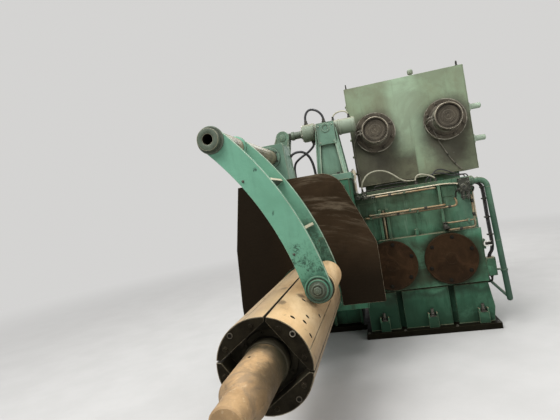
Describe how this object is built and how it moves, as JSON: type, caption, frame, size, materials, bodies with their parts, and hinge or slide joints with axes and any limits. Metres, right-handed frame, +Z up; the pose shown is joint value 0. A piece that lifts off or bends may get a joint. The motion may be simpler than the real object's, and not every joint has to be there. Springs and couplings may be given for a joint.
{
  "type": "rolling mill stand",
  "caption": "Coiler stand of a strip rolling mill: gear case, overhung expanding mandrel, guard plate and a swinging press roll arm.",
  "frame": {"origin": "on the floor, in the middle of the gear case sole plate, midway between the two bearing covers", "axes": "+Z up, +Y from the mandrel nose towards the back of the gear case, +X across the gear case, away from the mandrel"},
  "size_m": [2.4485, 4.052, 2.718],
  "materials": {
    "floor_steel": "dusty dark steel, trodden and oily",
    "case_green": "deep green paint, oily and chipped at the edges",
    "faded_green": "dull grey-green paint under brown soot",
    "arm_green": "light green paint, worn to bare metal on edges",
    "cover_rust": "dark brown rust and old oil",
    "plate_rust": "dark brown rusty sheet with faint streaks",
    "worn_steel": "bare steel, dusty tan, rubbed along its length",
    "sooty_steel": "dark steel with soot and a rubbed rim",
    "hose_black": "matt black rubber hose",
    "oil_pipe_copper": "thin bare pipe, dull and stained",
    "cream_plastic": "yellowed cream hose and fitting"
  },
  "bodies": {
    "frame": {"gear_case_sole": "floor_steel", "housing_sole": "floor_steel", "base_frame": "case_green", "gear_case": "case_green", "upper_neck": "case_green", "upper_housing": "faded_green", "bearing_cover_left": "cover_rust", "bearing_cover_right": "cover_rust", "rear_cover_left": "cover_rust", "rear_cover_right": "cover_rust", "drum_left": "sooty_steel", "drum_right": "sooty_steel", "lifting_pins": "arm_green", "lifting_eyes": "sooty_steel", "breather_cap": "arm_green", "mandrel_housing": "case_green", "housing_foot": "case_green", "mandrel_rear_cover": "cover_rust", "mandrel_sleeve": "case_green", "drive_base_plate": "arm_green", "guard_plate": "plate_rust", "guard_plate_standoffs": "case_green", "shaft_pedestal_front": "case_green", "shaft_pedestal_back": "case_green", "pedestal_side_plates": "case_green", "cylinder_stand_front": "arm_green", "cylinder_stand_back": "arm_green", "arm_cylinder": "arm_green", "cylinder_hoses": "hose_black", "oil_pipe": "case_green", "front_pipes": "oil_pipe_copper", "valve_block": "sooty_steel", "hose_loops": "cream_plastic", "relief_valve": "cream_plastic", "junction_box": "case_green", "hold_down_lugs": "floor_steel"},
    "mandrel": {"mandrel_core": "worn_steel", "mandrel_segment_1": "worn_steel", "mandrel_segment_2": "worn_steel", "mandrel_segment_3": "worn_steel", "mandrel_segment_4": "worn_steel"},
    "press_arm": {"swing_shaft": "worn_steel", "arm_plate_front": "arm_green", "arm_plate_back": "arm_green", "arm_cross_plates": "arm_green", "crank_lever": "arm_green", "roll_axle": "faded_green"},
    "press_roll": {"press_roll": "worn_steel"},
    "rod": {"piston_rod": "worn_steel"}
  },
  "joints": [
    {"name": "mandrel_spin", "type": "hinge", "parent": "frame", "child": "mandrel", "pos_m": [-0.997, 0, 0.725], "axis": [0, 1, 0], "continuous": true},
    {"name": "arm_swing", "type": "hinge", "parent": "frame", "child": "press_arm", "pos_m": [-1.263, 0, 1.978], "axis": [0, -1, 0], "range_deg": [0, 35]},
    {"name": "press_roll_spin", "type": "hinge", "parent": "press_arm", "child": "press_roll", "pos_m": [-0.74456, 0, 0.97744], "axis": [0, 1, 0], "continuous": true},
    {"name": "rod_slide", "type": "slide", "parent": "frame", "child": "rod", "axis": [-1, 0, 0], "range_m": [0, 0.1463]}
  ],
  "couplings": [
    {"joint": "rod_slide", "follows": "arm_swing", "m_per_rad": 0.23924}
  ]
}
